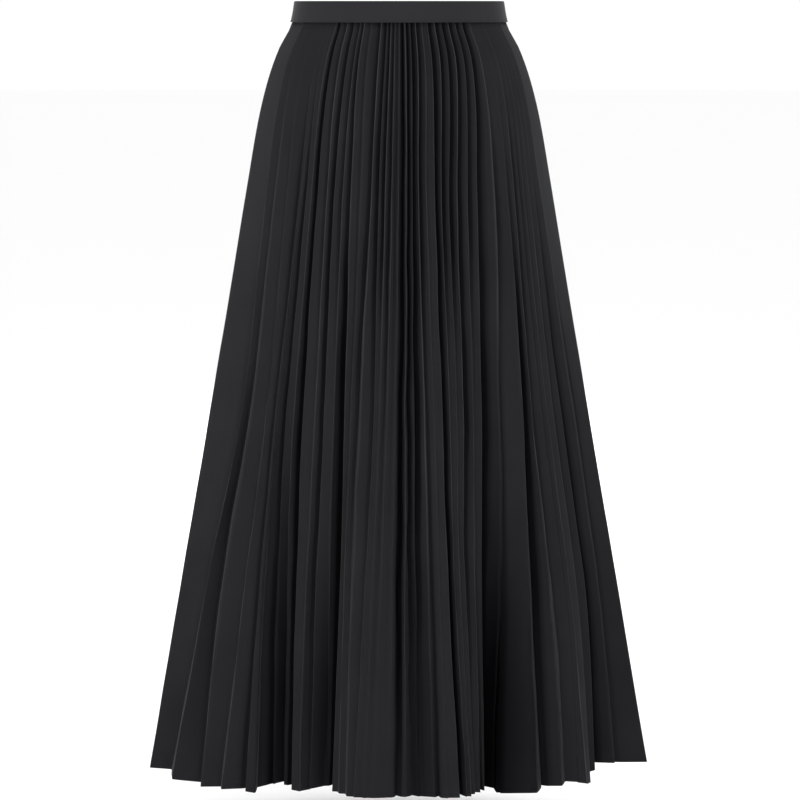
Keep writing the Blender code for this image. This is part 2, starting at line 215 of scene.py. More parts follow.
FRONT_CREASES = tuple(
    Crease(*row)
    for row in (
        (1.4, 190, 120, 0.8, 0.9), (2.5, 520, 150, 0.7, -1.1), (3.4, 330, 170, 0.6, 1.0),
        (6.5, 610, 130, 0.8, -1.2), (9.6, 260, 100, 0.5, 0.6), (11.4, 660, 120, 0.8, 1.3),
        (14.5, 430, 90, 0.6, -0.9), (18.6, 700, 110, 0.7, 1.2), (22.5, 520, 130, 0.6, 1.0),
        (25.5, 700, 100, 0.9, -1.3), (28.6, 360, 120, 0.6, 0.8), (30.5, 240, 110, 0.6, -0.9),
        (31.4, 640, 150, 0.7, 1.4), (34.5, 480, 140, 0.8, -1.0), (36.4, 300, 130, 0.9, 1.1),
        (7.0, 800, 330, 1.1, -14), (9.2, 790, 300, 1.0, 3), (11.3, 820, 280, 0.9, -12),
        (15.6, 780, 340, 3.0, 6), (20.6, 810, 330, 1.9, -8), (25.0, 780, 300, 2.4, 6),
        (29.5, 820, 330, 1.5, -20), (32.2, 780, 300, 1.6, 7),
    )
)

HEM_SAGS = tuple(
    Sag(*row)
    for row in (
        (0, 0), (1, 2), (2, 8), (3, 6), (4, 5), (5, 9), (6, 6), (7, 3), (8, 5), (9, 8), (10, 6), (11, 3),
        (14, 3), (19, 4), (21, 6), (24, 4), (27, 6), (28, 7), (30, 10), (31, 5), (32, 2), (33, 3), (34, 6),
        (35, 6), (36, 2), (38, 0),
    )
)

BACK_CREASES = tuple(
    Crease(*row)
    for row in (
        (2.4, 240, 130, 0.8, 0.9), (4.6, 560, 150, 0.9, -1.2), (8.5, 680, 120, 0.8, 1.3),
        (12.4, 380, 120, 0.7, -0.9), (16.5, 620, 140, 0.8, 1.1), (21.5, 450, 130, 0.7, -1.0),
        (25.6, 700, 110, 0.9, 1.3), (30.4, 300, 140, 0.8, 0.9), (34.5, 590, 130, 0.9, -1.2),
    )
)

STRAY_WAVES = (Wave(1.0, 31, 7, 2.4, 1.9), Wave(0.6, 67, 13, 1.3, 4.1))

HEM_ROWS = (11.5, 10.0, 9.3, 8.6, 7.8, 4.0, 0.9, 0.0)
FACE_SHARES = (0.16, 0.5, 0.84)
POINT_NUMBERS = (0.05, 0.12, 0.25, 0.38, 0.45, 0.5)


def eased(stations: Sequence[float], values: Sequence[float], at: float) -> float:
    """The value at one place on a smooth curve through the stations, with no overshoot.

    Args:
        stations: the places, rising.
        values: the value at each of them.
        at: the place asked for.

    Returns:
        The value there, held constant past both ends.
    """
    if at <= stations[0]:
        return values[0]
    if at >= stations[-1]:
        return values[-1]
    spans = [b - a for a, b in zip(stations, stations[1:])]
    rises = [(b - a) / s for a, b, s in zip(values, values[1:], spans)]
    slopes = [rises[0]]
    for before, after in zip(rises, rises[1:]):
        slopes.append(2 * before * after / (before + after) if before * after > 0 else 0.0)
    slopes.append(rises[-1])
    i = max(n for n, station in enumerate(stations[:-1]) if station <= at)
    t = (at - stations[i]) / spans[i]
    bend = (2 * t**3 - 3 * t**2 + 1, t**3 - 2 * t**2 + t, 3 * t**2 - 2 * t**3, t**3 - t**2)
    ends = (values[i], spans[i] * slopes[i], values[i + 1], spans[i] * slopes[i + 1])
    return sum(weight * end for weight, end in zip(bend, ends))


def between(stations: Sequence[float], values: Sequence[float], at: float) -> float:
    """Straight interpolation in a short table.

    Args:
        stations: the places, rising.
        values: the value at each of them.
        at: the place asked for.

    Returns:
        The value there.
    """
    for a, b, low, high in zip(stations, stations[1:], values, values[1:]):
        if at <= b:
            return low + (high - low) * (at - a) / (b - a)
    return values[-1]


def hump(offset: float) -> float:
    """A soft bump, 1 at the middle and 0 from one half size away."""
    return cos(offset * pi / 2) ** 2 if abs(offset) < 1 else 0.0


# Finishes


class Shader:
    """A material under construction, whose main shader is a Principled BSDF."""

    def __init__(self, name: str) -> None:
        """Starts an empty material.

        Args:
            name: the material's name.
        """
        self.material = bpy.data.materials.new(name)
        self.material.use_nodes = True
        self.nodes = self.material.node_tree.nodes
        self.links = self.material.node_tree.links
        self.main = self.nodes["Principled BSDF"]
        self.place = self.nodes.new("ShaderNodeTexCoord").outputs["Object"]
        self.own = self.nodes.new("ShaderNodeUVMap").outputs["UV"]

    def set(self, **values: object) -> None:
        """Sets sockets of the main shader, with _ for each space in a name."""
        for name, value in values.items():
            self.main.inputs[name.replace("_", " ")].default_value = value

    def join(self, output: bpy.types.NodeSocket, name: str) -> None:
        """Feeds an output into a socket of the main shader."""
        self.links.new(output, self.main.inputs[name])

    def feed(self, value: object, socket: bpy.types.NodeSocket) -> None:
        """Gives a socket its input.

        Args:
            value: another node's output, or a plain value.
            socket: the socket that takes it.
        """
        if isinstance(value, bpy.types.NodeSocket):
            self.links.new(value, socket)
        else:
            socket.default_value = value

    def node(self, kind: str, output: str, **inputs: object) -> bpy.types.NodeSocket:
        """Adds a node and fills its inputs.

        Args:
            kind: the node's type, without the words that all of them start with.
            output: the name of the output asked for.
            inputs: a value or an output for each input, with _ for each space in its name.

        Returns:
            The output.
        """
        node = self.nodes.new("ShaderNode" + kind)
        for name, value in inputs.items():
            self.feed(value, node.inputs[name.replace("_", " ")])
        return node.outputs[output]

    def noise(self, source: bpy.types.NodeSocket, scale: float, detail: float) -> bpy.types.NodeSocket:
        """Cloudy noise from 0 to 1."""
        return self.node("TexNoise", "Fac", Vector=source, Scale=scale, Detail=detail)

    def spread(self, factor: bpy.types.NodeSocket, low: float, high: float) -> bpy.types.NodeSocket:
        """A factor from 0 to 1 carried onto a range."""
        return self.node("MapRange", "Result", Value=factor, To_Min=low, To_Max=high)

    def attribute(self, name: str) -> bpy.types.NodeSocket:
        """A number that the mesh carries at each point."""
        output = self.node("Attribute", "Fac")
        output.node.attribute_name = name
        return output

    def maths(self, kind: str, a: object, b: object) -> bpy.types.NodeSocket:
        """One step of arithmetic.

        Args:
            kind: the step, by the node's own name for it.
            a: the first number, as a value or an output.
            b: the second.

        Returns:
            The result's output.
        """
        output = self.node("Math", "Value")
        output.node.operation = kind
        for value, socket in zip((a, b), output.node.inputs):
            self.feed(value, socket)
        return output

    def mixed(self, factor: bpy.types.NodeSocket, a: object, b: object) -> bpy.types.NodeSocket:
        """A colour between two colours.

        Args:
            factor: 0 for the first colour and 1 for the second.
            a: the first, as three numbers or an output.
            b: the second.

        Returns:
            The colour's output.
        """
        node = self.nodes.new("ShaderNodeMix")
        node.data_type = "RGBA"
        self.feed(factor, node.inputs["Factor"])
        sockets = [socket for socket in node.inputs if socket.type == "RGBA"]
        for value, socket in zip((a, b), sockets):
            self.feed(value if isinstance(value, bpy.types.NodeSocket) else (*value, 1.0), socket)
        return next(socket for socket in node.outputs if socket.type == "RGBA")

    def bump(self, height: bpy.types.NodeSocket, strength: float, distance: float) -> None:
        """Adds relief over what the main shader has so far.

        Args:
            height: the relief, from 0 to 1.
            strength: how strongly it shows.
            distance: how high 1 is, in metres.
        """
        relief = self.node("Bump", "Normal", Strength=strength, Distance=distance, Height=height)
        earlier = self.main.inputs["Normal"]
        if earlier.is_linked:
            self.links.new(earlier.links[0].from_socket, relief.node.inputs["Normal"])
        self.links.new(relief, earlier)


@dataclass(frozen=True)
class CrepeFinish:
    """Black pleating crepe: a dry, slightly cool black with a fine grain and a soft bloom."""

    name: str = "black crepe"
    ground: tuple[float, float, float] = (0.0128, 0.0124, 0.0149)
    lifted: tuple[float, float, float] = (0.0198, 0.0192, 0.0224)
    # Painted highlight along the pleat crests, with a little rubbed wear in it.
    crest_highlight: tuple[float, float, float] = (0.100, 0.097, 0.106)
    # Painted shade for the folds, the faces pressed in half and the creases' troughs.
    painted_shade: tuple[float, float, float] = (0.0038, 0.0037, 0.0044)
    gloss: float = 0.10
    bloom: float = 0.07
    roughness: tuple[float, float] = (0.56, 0.72)

    def material(self) -> bpy.types.Material:
        """Makes the material: clouded ground, a painted highlight along the pleat edges with some rubbed
        wear, painted shade in the folds and troughs, grain and slubs.

        Returns:
            The material.
        """
        shader = Shader(self.name)
        clouds = shader.noise(shader.place, 14.0, 4.0)
        ground = shader.mixed(clouds, self.ground, self.lifted)
        # Painted shade: darker in the folds and the creases' troughs.
        fold_shaded = shader.mixed(shader.attribute("painted_shade"), ground, self.painted_shade)
        # Painted highlight on the pressed crests, broken up by the clouds; partly rubbed wear.
        rub_and_highlight = shader.maths("MULTIPLY", shader.attribute("crest_highlight"), shader.spread(clouds, 0.5, 1.0))
        shader.join(shader.mixed(rub_and_highlight, fold_shaded, self.crest_highlight), "Base Color")
        grain = shader.noise(shader.place, 1500.0, 2.0)
        shader.join(shader.spread(grain, *self.roughness), "Roughness")
        along = shader.node("Mapping", "Vector", Vector=shader.own, Scale=(900.0, 70.0, 1.0))
        slubs = shader.noise(along, 1.0, 3.0)
        shader.bump(slubs, 0.25, 0.0002)
        shader.bump(grain, 0.35, 0.00012)
        # Gloss and sheen fade out where the painted shade lies, as part of that shade.
        shader.join(shader.spread(shader.attribute("painted_shade"), self.gloss, 0.0), "Specular IOR Level")
        shader.join(shader.spread(shader.attribute("painted_shade"), self.bloom, 0.0), "Sheen Weight")
        shader.set(Sheen_Roughness=0.45)
        shader.set(Sheen_Tint=(0.86, 0.90, 1.0, 1.0))
        return shader.material


@dataclass(frozen=True)
class TapeFinish:
    """Black zip tape: fine twill ribs across the weave."""

    name: str = "black zip tape"
    valley: tuple[float, float, float] = (0.008, 0.008, 0.009)
    rib: tuple[float, float, float] = (0.020, 0.020, 0.022)

    def material(self) -> bpy.types.Material:
        """Makes the material: diagonal ribs as colour and relief.

        Returns:
            The material.
        """
        shader = Shader(self.name)
        ribs = shader.node("TexWave", "Fac", Vector=shader.own, Scale=380.0)
        ribs.node.bands_direction = "DIAGONAL"
        fuzz = shader.noise(shader.place, 1800.0, 2.0)
        shader.join(shader.mixed(ribs, self.valley, self.rib), "Base Color")
        shader.join(shader.spread(fuzz, 0.7, 0.9), "Roughness")
        shader.bump(ribs, 0.5, 0.0001)
        shader.set(Specular_IOR_Level=0.2, Sheen_Weight=0.1)
        return shader.material


@dataclass(frozen=True)
class NylonFinish:
    """Black nylon monofilament of the zip's coil."""

    name: str = "black nylon"
    colour: tuple[float, float, float] = (0.016, 0.016, 0.018)

    def material(self) -> bpy.types.Material:
        """Makes the material: a dark gloss with slightly uneven polish.

        Returns:
            The material.
        """
        shader = Shader(self.name)
        cloud = shader.noise(shader.place, 600.0, 2.0)
        deeper = tuple(0.6 * part for part in self.colour)
        shader.join(shader.mixed(cloud, deeper, self.colour), "Base Color")
        shader.join(shader.spread(cloud, 0.28, 0.42), "Roughness")
        shader.bump(cloud, 0.15, 0.00005)
        return shader.material


@dataclass(frozen=True)
class LacquerFinish:
    """Black lacquer on the die-cast slider and pull, rubbed thin in faint spots."""

    name: str = "black lacquered metal"
    coat: tuple[float, float, float] = (0.018, 0.018, 0.020)
    worn: tuple[float, float, float] = (0.055, 0.054, 0.052)

    def material(self) -> bpy.types.Material:
        """Makes the material: lacquer with orange-peel relief and faint rubbed spots.

        Returns:
            The material.
        """
        shader = Shader(self.name)
        spots = shader.noise(shader.place, 420.0, 5.0)
        rubbed = shader.maths("GREATER_THAN", spots, 0.66)
        shader.join(shader.mixed(rubbed, self.coat, self.worn), "Base Color")
        shader.join(shader.spread(spots, 0.22, 0.4), "Roughness")
        shader.bump(spots, 0.12, 0.00006)
        shader.set(Metallic=0.55, Coat_Weight=0.3, Coat_Roughness=0.15)
        return shader.material


@dataclass(frozen=True)
class PaperFinish:
    """Pale seamless paper under the skirt."""

    name: str = "pale paper"
    colour: tuple[float, float, float] = (0.985, 0.985, 0.985)
    shade: tuple[float, float, float] = (0.965, 0.965, 0.965)

    def material(self) -> bpy.types.Material:
        """Makes the material: an even pale matt surface with a faint tooth.

        Returns:
            The material.
        """
        shader = Shader(self.name)
        tooth = shader.noise(shader.place, 90.0, 3.0)
        shader.join(shader.mixed(tooth, self.shade, self.colour), "Base Color")
        shader.bump(tooth, 0.02, 0.0005)
        shader.set(Roughness=0.95, Specular_IOR_Level=0.1)
        return shader.material


# Form of the skirt


@dataclass(frozen=True)
class SkirtForm:
    """The level sections of the whole skirt and the rules that the cloth follows through them."""

    length: float = 884 * MM
    band_height: float = 24 * MM
    cloth: float = 1.2 * MM
    seam: float = 0.3 * MM
    pleats: int = 38
    middle_fold: int = 19
    lean: float = 0.36
    lean_change: float = 2.5
    tilt: float = 0.62
    tilt_power: float = 1.5
    slit_from: float = 0.45
    slit_gain: float = 1.7
    crest_sway: float = 0.16
    crest_fade: float = 0.85
    smooth_hip: float = 86 * MM
    hip_calm: float = 0.2
    drape_start: float = 200 * MM
    drape_growth: float = 1.3
    sharpest: float = 0.2
    levels: tuple[float, ...] = (65 * MM, 227 * MM, 459 * MM, 636 * MM, 884 * MM)

    def size(self, name: str, drop: float) -> float:
        """A named size of the level section at a drop, in metres."""
        drops = [section.drop * MM for section in SECTIONS]
        return eased(drops, [getattr(section, name) * MM for section in SECTIONS], drop)

    def height(self, drop: float) -> float:
        """The height of a drop, with the origin at the middle of the waistband."""
        return self.band_height / 2 - drop

    def fold_angle(self, across: float, drop: float) -> float:
        """How far round the oval a place across the skirt lies: 0 and pi are the side seams."""
        return acos(max(-1.0, min(1.0, -across / self.size("half_width", drop))))

    def drape(self, drop: float) -> float:
        """The share of the hem's long waves that the cloth has at a drop."""
        return max(0.0, (drop - self.drape_start) / (self.length - self.drape_start)) ** self.drape_growth


class PanelPoints(NamedTuple):
    """What every row of a panel's points holds: outer and inner places and the marks on the cloth, painted
    shade in the folds and a painted highlight on the crests.
    """

    outer: list[list[Vector]]
    inner: list[list[Vector]]
    painted_shades: list[list[float]]
    crest_highlights: list[list[float]]


class PleatRow:
    """One side of the skirt at one drop, seen from outside, left seam to right seam."""

    def __init__(self, form: SkirtForm, side: Side, folds: Sequence[Fold], drop: float) -> None:
        """Works out the folds' places on the oval.

        Args:
            form: the rules of the whole skirt.
            side: front or back.
            folds: that side's fold table.
            drop: how far below the top edge, in metres.
        """
        self.form = form
        self.half_width = form.size("half_width", drop)
        self.depth = form.size(side.value, drop)
        self.pleat = form.size("pleat", drop)
        self.drape = form.drape(drop)
        self.sharpness = 1 - form.crest_fade * (drop / form.length) ** 2
        self.hem_depth = form.size(side.value, form.length)
        deep_levels = (form.levels[0], form.levels[1], form.levels[2], form.levels[4])
        self.numbers = [0] + [fold.number for fold in folds] + [form.pleats]
        self.angles, self.hem_angles, self.deeps = [0.0], [0.0], [0.0]
        for fold in folds:
            places = (fold.yoke, fold.hip, fold.thigh, fold.knee, fold.hem)
            angles = [form.fold_angle(place * MM, level) for place, level in zip(places, form.levels)]
            calm = form.hip_calm if abs(fold.yoke * MM) > form.smooth_hip else 1.0
            deeps = (calm * fold.hip_deep, fold.hip_deep, fold.thigh_deep, fold.hem_deep)
            self.angles.append(eased(form.levels, angles, drop))
            self.hem_angles.append(angles[-1])
            self.deeps.append(eased(deep_levels, deeps, drop))
        self.angles.append(pi)
        self.hem_angles.append(pi)
        self.deeps.append(0.0)
        self.reaches = [0.0] + [fold.reach * MM for fold in folds] + [0.0]

    def on_oval(self, angle: float, hem_angle: float, reach: float) -> Point:
        """A point of the draped oval, seen from above with the panel's outside towards -Y."""
        wave = reach - self.hem_depth * sin(hem_angle)
        return (-self.half_width * cos(angle), -(self.depth * sin(angle) + self.drape * wave))

    def fold_point(self, number: float) -> Point:
        """The bottom of a fold.

        Args:
            number: the fold's, or any between two folds.

        Returns:
            The point in plan.
        """
        angle = between(self.numbers, self.angles, number)
        hem_angle = between(self.numbers, self.hem_angles, number)
        x, y = self.on_oval(angle, hem_angle, between(self.numbers, self.reaches, number))
        deep = self.form.tilt * self.pleat * between(self.numbers, self.deeps, number) ** self.form.tilt_power
        out = (-cos(angle) / self.half_width, -sin(angle) / self.depth)
        return (x - deep * out[0] / hypot(*out), y - deep * out[1] / hypot(*out))

    def slit(self, number: float) -> float:
        """How far a fold dips below its two faces, as a narrow slit, in metres."""
        share = between(self.numbers, self.deeps, number) - self.form.slit_from
        return self.form.slit_gain * self.pleat * max(0.0, share)

    def crest_point(self, number: float) -> Point:
        """The folded edge between a fold and the next one.

        Args:
            number: the first fold's.

        Returns:
            The point in plan.
        """
        share = 0.5 + self.form.lean * tanh((number + 0.5 - self.form.middle_fold) / self.form.lean_change)
        angle = between(self.numbers, self.angles, number + share)
        hem_angle = between(self.numbers, self.hem_angles, number + share)
        x, y = self.on_oval(angle, hem_angle, between(self.numbers, self.reaches, number + 1 - share))
        deep = between(self.numbers, self.deeps, number + 0.5)
        sway = 1 + self.form.crest_sway * self.pleat / self.depth * min(deep, 1.0) * sin(2.3 * number + 0.4)
        return (x, y * sway)

    def corners(self, first: int, last: int) -> list[Point]:
        """Folds and crests in turn, from one fold to another."""
        points = []
        for number in range(first, last):
            points += [self.fold_point(number), self.crest_point(number)]
        return points + [self.fold_point(last)]


def inner_side(points: Sequence[Point], thickness: float, sharpest: float) -> list[Point]:
    """The inner side of a wall's plan line, at even thickness behind the outer side.

    Args:
        points: the outer side.
        thickness: the wall's.
        sharpest: the least share by which a mitre is divided.

    Returns:
        One inner point for each outer point.
    """
    inner = []
    for i, (x, y) in enumerate(points):
        normals = []
        for (ax, ay), (bx, by) in zip(points[max(i - 1, 0) : i + 1], points[max(i, 1) : i + 2]):
            size = hypot(bx - ax, by - ay)
            normals.append(((ay - by) / size, (bx - ax) / size))
        (ax, ay), (bx, by) = normals[0], normals[-1]
        reach = thickness / max(1 + ax * bx + ay * by, sharpest)
        inner.append((x + reach * (ax + bx), y + reach * (ay + by)))
    return inner


def shown_piece(name: str, shape: BMesh, material: bpy.types.Material) -> bpy.types.Object:
    """Turns a finished bmesh into a smooth piece of the skirt.

    Args:
        name: the piece's name.
        shape: the bmesh, which is used up.
        material: its finish.

    Returns:
        The object, at the origin.
    """
    mesh = bpy.data.meshes.new(name)
    for face in shape.faces:
        face.smooth = True
    shape.to_mesh(mesh)
    shape.free()
    mesh.materials.append(material)
    piece = bpy.data.objects.new(name, mesh)
    bpy.context.scene.collection.objects.link(piece)
    LOG.info("%s: %d faces", name, len(mesh.polygons))
    return piece


def walled_grid(
    columns: int,
    rows: int,
    outer: Callable[[int, int], Vector],
    inner: Callable[[int, int], Vector],
    own: Callable[[int, int], Point],
    marks: dict[str, Callable[[int, int], float]],
) -> BMesh:
    """A closed thin wall: a grid and its twin behind it, joined all round its edge.

    Args:
        columns: how many faces across.
        rows: how many faces down.
        outer: the place of an outer point, by column and row.
        inner: the place of an inner point.
        own: the point's place on the flat cloth, in metres.
        marks: numbers that each point carries, by name.

    Returns:
        The wall, with faces out.
    """
    shape = bmesh.new()
    bmesh.ops.create_grid(shape, x_segments=columns, y_segments=rows, size=0.5)
    column_layer = shape.verts.layers.int.new("column")
    row_layer = shape.verts.layers.int.new("row")
    for vert in shape.verts:
        vert[column_layer] = round((vert.co.x + 0.5) * columns)
        vert[row_layer] = round((0.5 - vert.co.y) * rows)
    first = set(shape.verts)
    bmesh.ops.extrude_face_region(shape, geom=list(shape.faces), use_keep_orig=True)
    layers = {name: shape.verts.layers.float.new(name) for name in marks}
    for vert in shape.verts:
        column, row = vert[column_layer], vert[row_layer]
        vert.co = outer(column, row) if vert in first else inner(column, row)
        for name, mark in marks.items():
            vert[layers[name]] = mark(column, row)
    flat = shape.loops.layers.uv.new("flat cloth")
    for face in shape.faces:
        for loop in face.loops:
            loop[flat].uv = own(loop.vert[column_layer], loop.vert[row_layer])
    shape.verts.layers.int.remove(column_layer)
    shape.verts.layers.int.remove(shape.verts.layers.int["row"])
    bmesh.ops.recalc_face_normals(shape, faces=shape.faces)
    return shape


# Cloth


@dataclass
class PleatedPanel:
    """A pleated panel, hung from the waistband: pressed edges, soft faces, creases and a narrow hem."""

    name: str
    node: str
    side: Side
    folds: Sequence[Fold]
    creases: Sequence[Crease]
    first: int
    last: int
    flat: tuple[float, float]
    flat_area: float
    form: SkirtForm
    top: float = 24.3 * MM
    rows: int = 98
    hem_zone: float = 20 * MM
    crest_round: float = 0.8 * MM
    fold_round: float = 1.3 * MM
    slit_open: float = 0.34
    end_round: float = 0.6 * MM
    face_swell: float = 0.012
    wander: float = 0.9 * MM
    hem_height: float = 9 * MM
    hem_rise: float = 0.25 * MM
    stitch_dip: float = 0.35 * MM
    # Trough depth that gets full painted shade.
    trough_dark: float = 17 * MM
    stitched: float = 0.04 * MM
    half_fold: float = 0.34
    half_fold_end: float = 0.52
    half_fold_reach: float = 11.0
    half_fold_middle: float = 21.0
    wander_full: float = 0.35
    wander_room: float = 0.12
    fold_cap: float = 0.46
    crest_cap: float = 0.26
    least_round: float = 0.3 * MM
    dent_room: float = 0.22
    # How the painted highlight on the crests follows a pleat's depth, varies and narrows.
    highlight_from: float = 0.05
    highlight_full: float = 0.6
    highlight_vary: float = 0.45
    highlight_width: float = 0.08
    # How the painted shade in folds and half-pressed faces grows and spreads.
    dark_from: float = 0.2
    dark_full: float = 0.8
    dark_width: float = 0.06
    dark_spread: float = 0.16
    dent_dark: float = 0.45

    def drops(self) -> list[float]:
        """The drop of every row of points: even down the cloth, close together at the hem."""
        even = self.rows - len(HEM_ROWS)
        last = self.form.length - self.hem_zone
        plain = [self.top + (last - self.top) * n / (even - 1) for n in range(even)]
        return plain + [self.form.length - up * MM for up in HEM_ROWS]

    def wandered(self, corners: list[Point], drop: float) -> list[Point]:
        """Lets each folded edge stray a little to the side on its way down.

        Args:
            corners: folds and crests in turn at one drop.
            drop: that drop.

        Returns:
            The strayed corners, with both ends kept.
        """
        strayed = [corners[0]]
        growth = min(1.0, max(0.0, (drop - self.top) / self.wander_full))
        for i in range(1, len(corners) - 1):
            (ax, ay), (x, y), (bx, by) = corners[i - 1 : i + 2]
            along = hypot(bx - ax, by - ay)
            room = min(hypot(x - ax, y - ay), hypot(bx - x, by - y))
            number = i + 100 * self.first
            stray = 0.0
            for wave in STRAY_WAVES:
                pace = wave.pace + wave.spread * sin(number * wave.seed)
                stray += wave.share * sin(drop * pace + number * wave.start)
            stray *= min(self.wander * growth, self.wander_room * room)
            stray /= sum(wave.share for wave in STRAY_WAVES)
            strayed.append((x + stray * (bx - ax) / along, y + stray * (by - ay) / along))
        return strayed + [corners[-1]]

    def squared(self, outer: list[Point], inner: list[Point]) -> None:
        """Puts both ends of a row on their seams.

        Args:
            outer: the outer corners, changed in place.
            inner: the inner corners, changed in place.
        """
        half_seam = self.stitched / 2
        for end, number, inwards in ((0, self.first, 1), (-1, self.last, -1)):
            x, y = outer[end]
            if number in (0, self.form.pleats):
                outer[end] = (x, -half_seam)
                inner[end] = (x + inwards * self.form.cloth, -half_seam)
            else:
                outer[end] = (inwards * half_seam, y)
                inner[end] = (inwards * half_seam, y + self.form.cloth)

    def half_dent(self, number: float, row: PleatRow, drop: float) -> float:
        """How far the faces at the front's middle are pressed in half, high up, in metres.

        Args:
            number: the pleat number of the face.
            row: the row that it is on.
            drop: that row's drop.

        Returns:
            The dent at the middle of the face, none near the hem, at the hips and on the back.
        """
        if self.side is Side.BACK:
            return 0.0
        near = hump((number - self.half_fold_middle) / self.half_fold_reach)
        high = max(0.0, 1 - drop / self.half_fold_end)
        return self.half_fold * row.pleat * near * high * (1 + 0.5 * sin(5.1 * number))

    def softened(
        self, corners: list[Point], slits: list[float], dents: list[float], behind: float
    ) -> list[Point]:
        """Rounds every crest, sinks every fold's slit and swells or halves the faces between them.

        Args:
            corners: folds and crests in turn.
            slits: how far each corner dips below its faces, 0 at a crest.
            dents: how far each face's middle is pressed in.
            behind: how far behind the outer side this side lies.

        Returns:
            The points of the row: two at each end, three at each edge and three on each face.
        """
        line: list[Point] = []
        last = len(corners) - 1
        rounds = [max(self.crest_round - behind, self.least_round)] * (last + 1)
        rounds[0::2] = [self.fold_round + behind + self.slit_open * slit for slit in slits[0::2]]
        rounds[0] = rounds[last] = self.end_round
        caps = (self.fold_cap, self.crest_cap)
        for i in range(last):
            (ax, ay), (bx, by) = corners[i], corners[i + 1]
            size = hypot(bx - ax, by - ay)
            ux, uy = (bx - ax) / size, (by - ay) / size
            start = min(rounds[i], caps[i % 2] * size)
            end = size - min(rounds[i + 1], caps[1 - i % 2] * size)
            if i == 0:
                line.append((ax - 0.4 * self.end_round * uy, ay + 0.4 * self.end_round * ux))
            line.append((ax + start * ux, ay + start * uy))
            for share in FACE_SHARES:
                at = start + (end - start) * share
                out = self.face_swell * size * sin(pi * at / size)
                if share == FACE_SHARES[1]:
                    out -= min(dents[i], self.dent_room * size)
                line.append((ax + at * ux + out * uy, ay + at * uy - out * ux))
            line.append((ax + end * ux, ay + end * uy))
            if i + 1 < last:
                cx, cy = corners[i + 2]
                next_size = hypot(cx - bx, cy - by)
                turn = min(rounds[i + 1], 0.3 * next_size, 0.3 * size) / 4
                vx, vy = (cx - bx) / next_size, (cy - by) / next_size
                mid = Vector((bx + turn * (vx - ux), by + turn * (vy - uy)))
                inwards = Vector((-(uy + vy), ux + vx)).normalized()
                line.append(tuple(mid + slits[i + 1] * inwards))
            else:
                line.append((bx - 0.4 * self.end_round * uy, by + 0.4 * self.end_round * ux))
        return line

    def column_numbers(self) -> list[float]:
        """The pleat number that each column of points lies at."""
        numbers = [float(self.first)]
        for half in range(2 * (self.last - self.first)):
            numbers += [self.first + half / 2 + number for number in POINT_NUMBERS]
        return numbers

    def crest_highlight(self, number: float, row: PleatRow) -> float:
        """How much painted highlight a place on a pressed crest gets, from 0 to 1.

        Args:
            number: the place's pleat number.
            row: the row that it is on.

        Returns:
            More on the crest of a deep pleat than where the pleat has opened out flat.
        """
        deep = between(row.numbers, row.deeps, number)
        strength = min(1.0, max(0.0, (deep - self.highlight_from) / self.highlight_full))
        strength *= 1 - self.highlight_vary + self.highlight_vary * sin(3.7 * round(number - 0.5))
        return row.sharpness * strength * max(0.0, 1.0 - abs((number % 1.0) - 0.5) / self.highlight_width)

    def painted_shade(self, number: float, row: PleatRow, drop: float, rise: float) -> float:
        """How much painted shade a place gets in a fold, on a face pressed in half or in a crease's trough,
        from 0 to 1.

        Args:
            number: the place's pleat number.
            row: the row that it is on.
            drop: that row's drop.
            rise: how far the creases lift it, negative in a trough.

        Returns:
            1 at the bottom of a deep fold, less up its sides and in a shallow fold or a trough.
        """
        nearest = round(number)
        deep = between(row.numbers, row.deeps, nearest)
        strength = min(1.0, max(0.0, (deep - self.dark_from) / self.dark_full))
        width = self.dark_width + self.dark_spread * strength
        dark = strength * max(0.0, 1.0 - abs(number - nearest) / width)
        # Painted shade on faces pressed in half.
        if abs(number % 0.5 - POINT_NUMBERS[2]) < 0.01:
            dark += self.dent_dark * self.half_dent(number, row, drop) / (self.half_fold * row.pleat)
        # Painted shade in the creases' troughs too.
        return min(1.0, max(dark, -rise / self.trough_dark))

    def crease_rise(self, number: float, drop: float) -> float:
        """How far the creases lift the cloth.

        Args:
            number: the place's pleat number.
            drop: its drop.

        Returns:
            The lift in metres, negative in a trough.
        """
        rise = 0.0
        for crease in self.creases:
            across = hump((number - crease.number) / crease.half_width)
            down = hump((drop / MM - crease.drop) / crease.half_length)
            rise += crease.height * MM * across * down
        return rise

    def fall(self, number: float, drop: float) -> float:
        """How far the front's uneven hem pulls a point down, in metres."""
        if self.side is Side.BACK:
            return 0.0
        numbers, falls = zip(*HEM_SAGS)
        return between(numbers, falls, number) * MM * (drop / self.form.length) ** 3

    def hem_lift(self, drop: float) -> float:
        """How far the turned-up hem and its line of stitches move the outer face, in metres."""
        up = self.form.length - drop
        lift = self.hem_rise if up < self.hem_height else 0.0
        return lift - self.stitch_dip * hump((up - self.hem_height) / (1.2 * MM))

